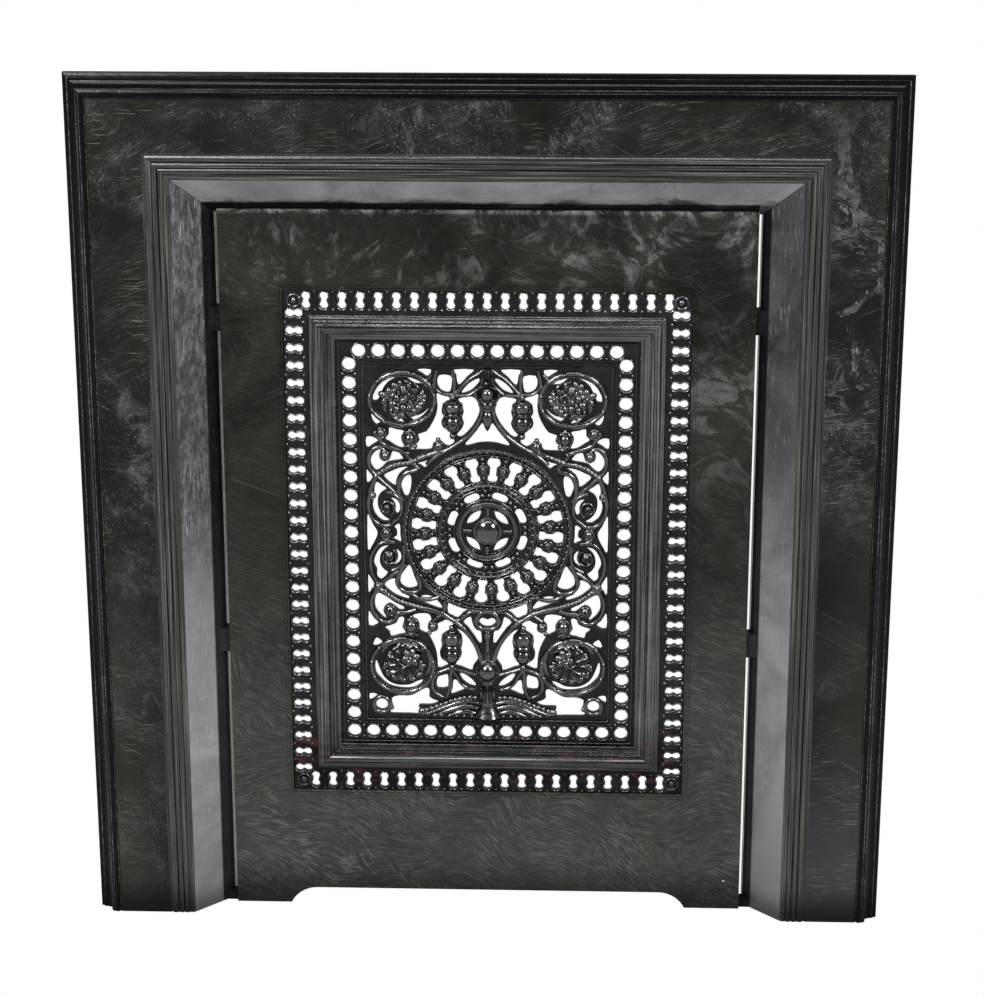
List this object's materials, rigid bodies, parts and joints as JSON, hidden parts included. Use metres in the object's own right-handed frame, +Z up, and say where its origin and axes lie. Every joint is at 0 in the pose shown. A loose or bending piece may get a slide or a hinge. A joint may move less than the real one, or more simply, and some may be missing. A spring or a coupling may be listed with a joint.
{
  "type": "cast iron fireplace",
  "caption": "Cast iron fireplace surround with a moulded frame, splayed cheeks bolted behind it, and a lift-away summer cover holding a pierced scrollwork grille with a wheel at its centre.",
  "frame": {"origin": "on the hearth, in the middle of the width and of the depth", "axes": "+X to the right as seen from the room, +Y from the room towards the wall, +Z up"},
  "size_m": [0.8, 0.062, 0.859],
  "materials": {
    "frame_iron": "black polished casting with faint brush marks",
    "splay_iron": "black polished casting, greyer and mottled",
    "cover_iron": "black polished casting, brushed in swirls",
    "grille_iron": "glossy black casting",
    "boss_iron": "glossy black casting",
    "fixing_steel": "dull dark steel"
  },
  "bodies": {
    "surround": {"face_frame": "frame_iron", "header_splay": "splay_iron", "left_splay": "splay_iron", "right_splay": "splay_iron", "splay_bolts": "fixing_steel"},
    "summer_cover": {"cover_plate": "cover_iron", "grille_frame": "grille_iron", "tracery_panel": "grille_iron", "centre_boss": "boss_iron", "boss_nut": "fixing_steel", "frame_screws": "fixing_steel", "panel_screws": "fixing_steel"}
  },
  "joints": [
    {"name": "cover_lift_out", "type": "slide", "parent": "surround", "child": "summer_cover", "axis": [0, -1, 0], "range_m": [0, 0.2]}
  ]
}
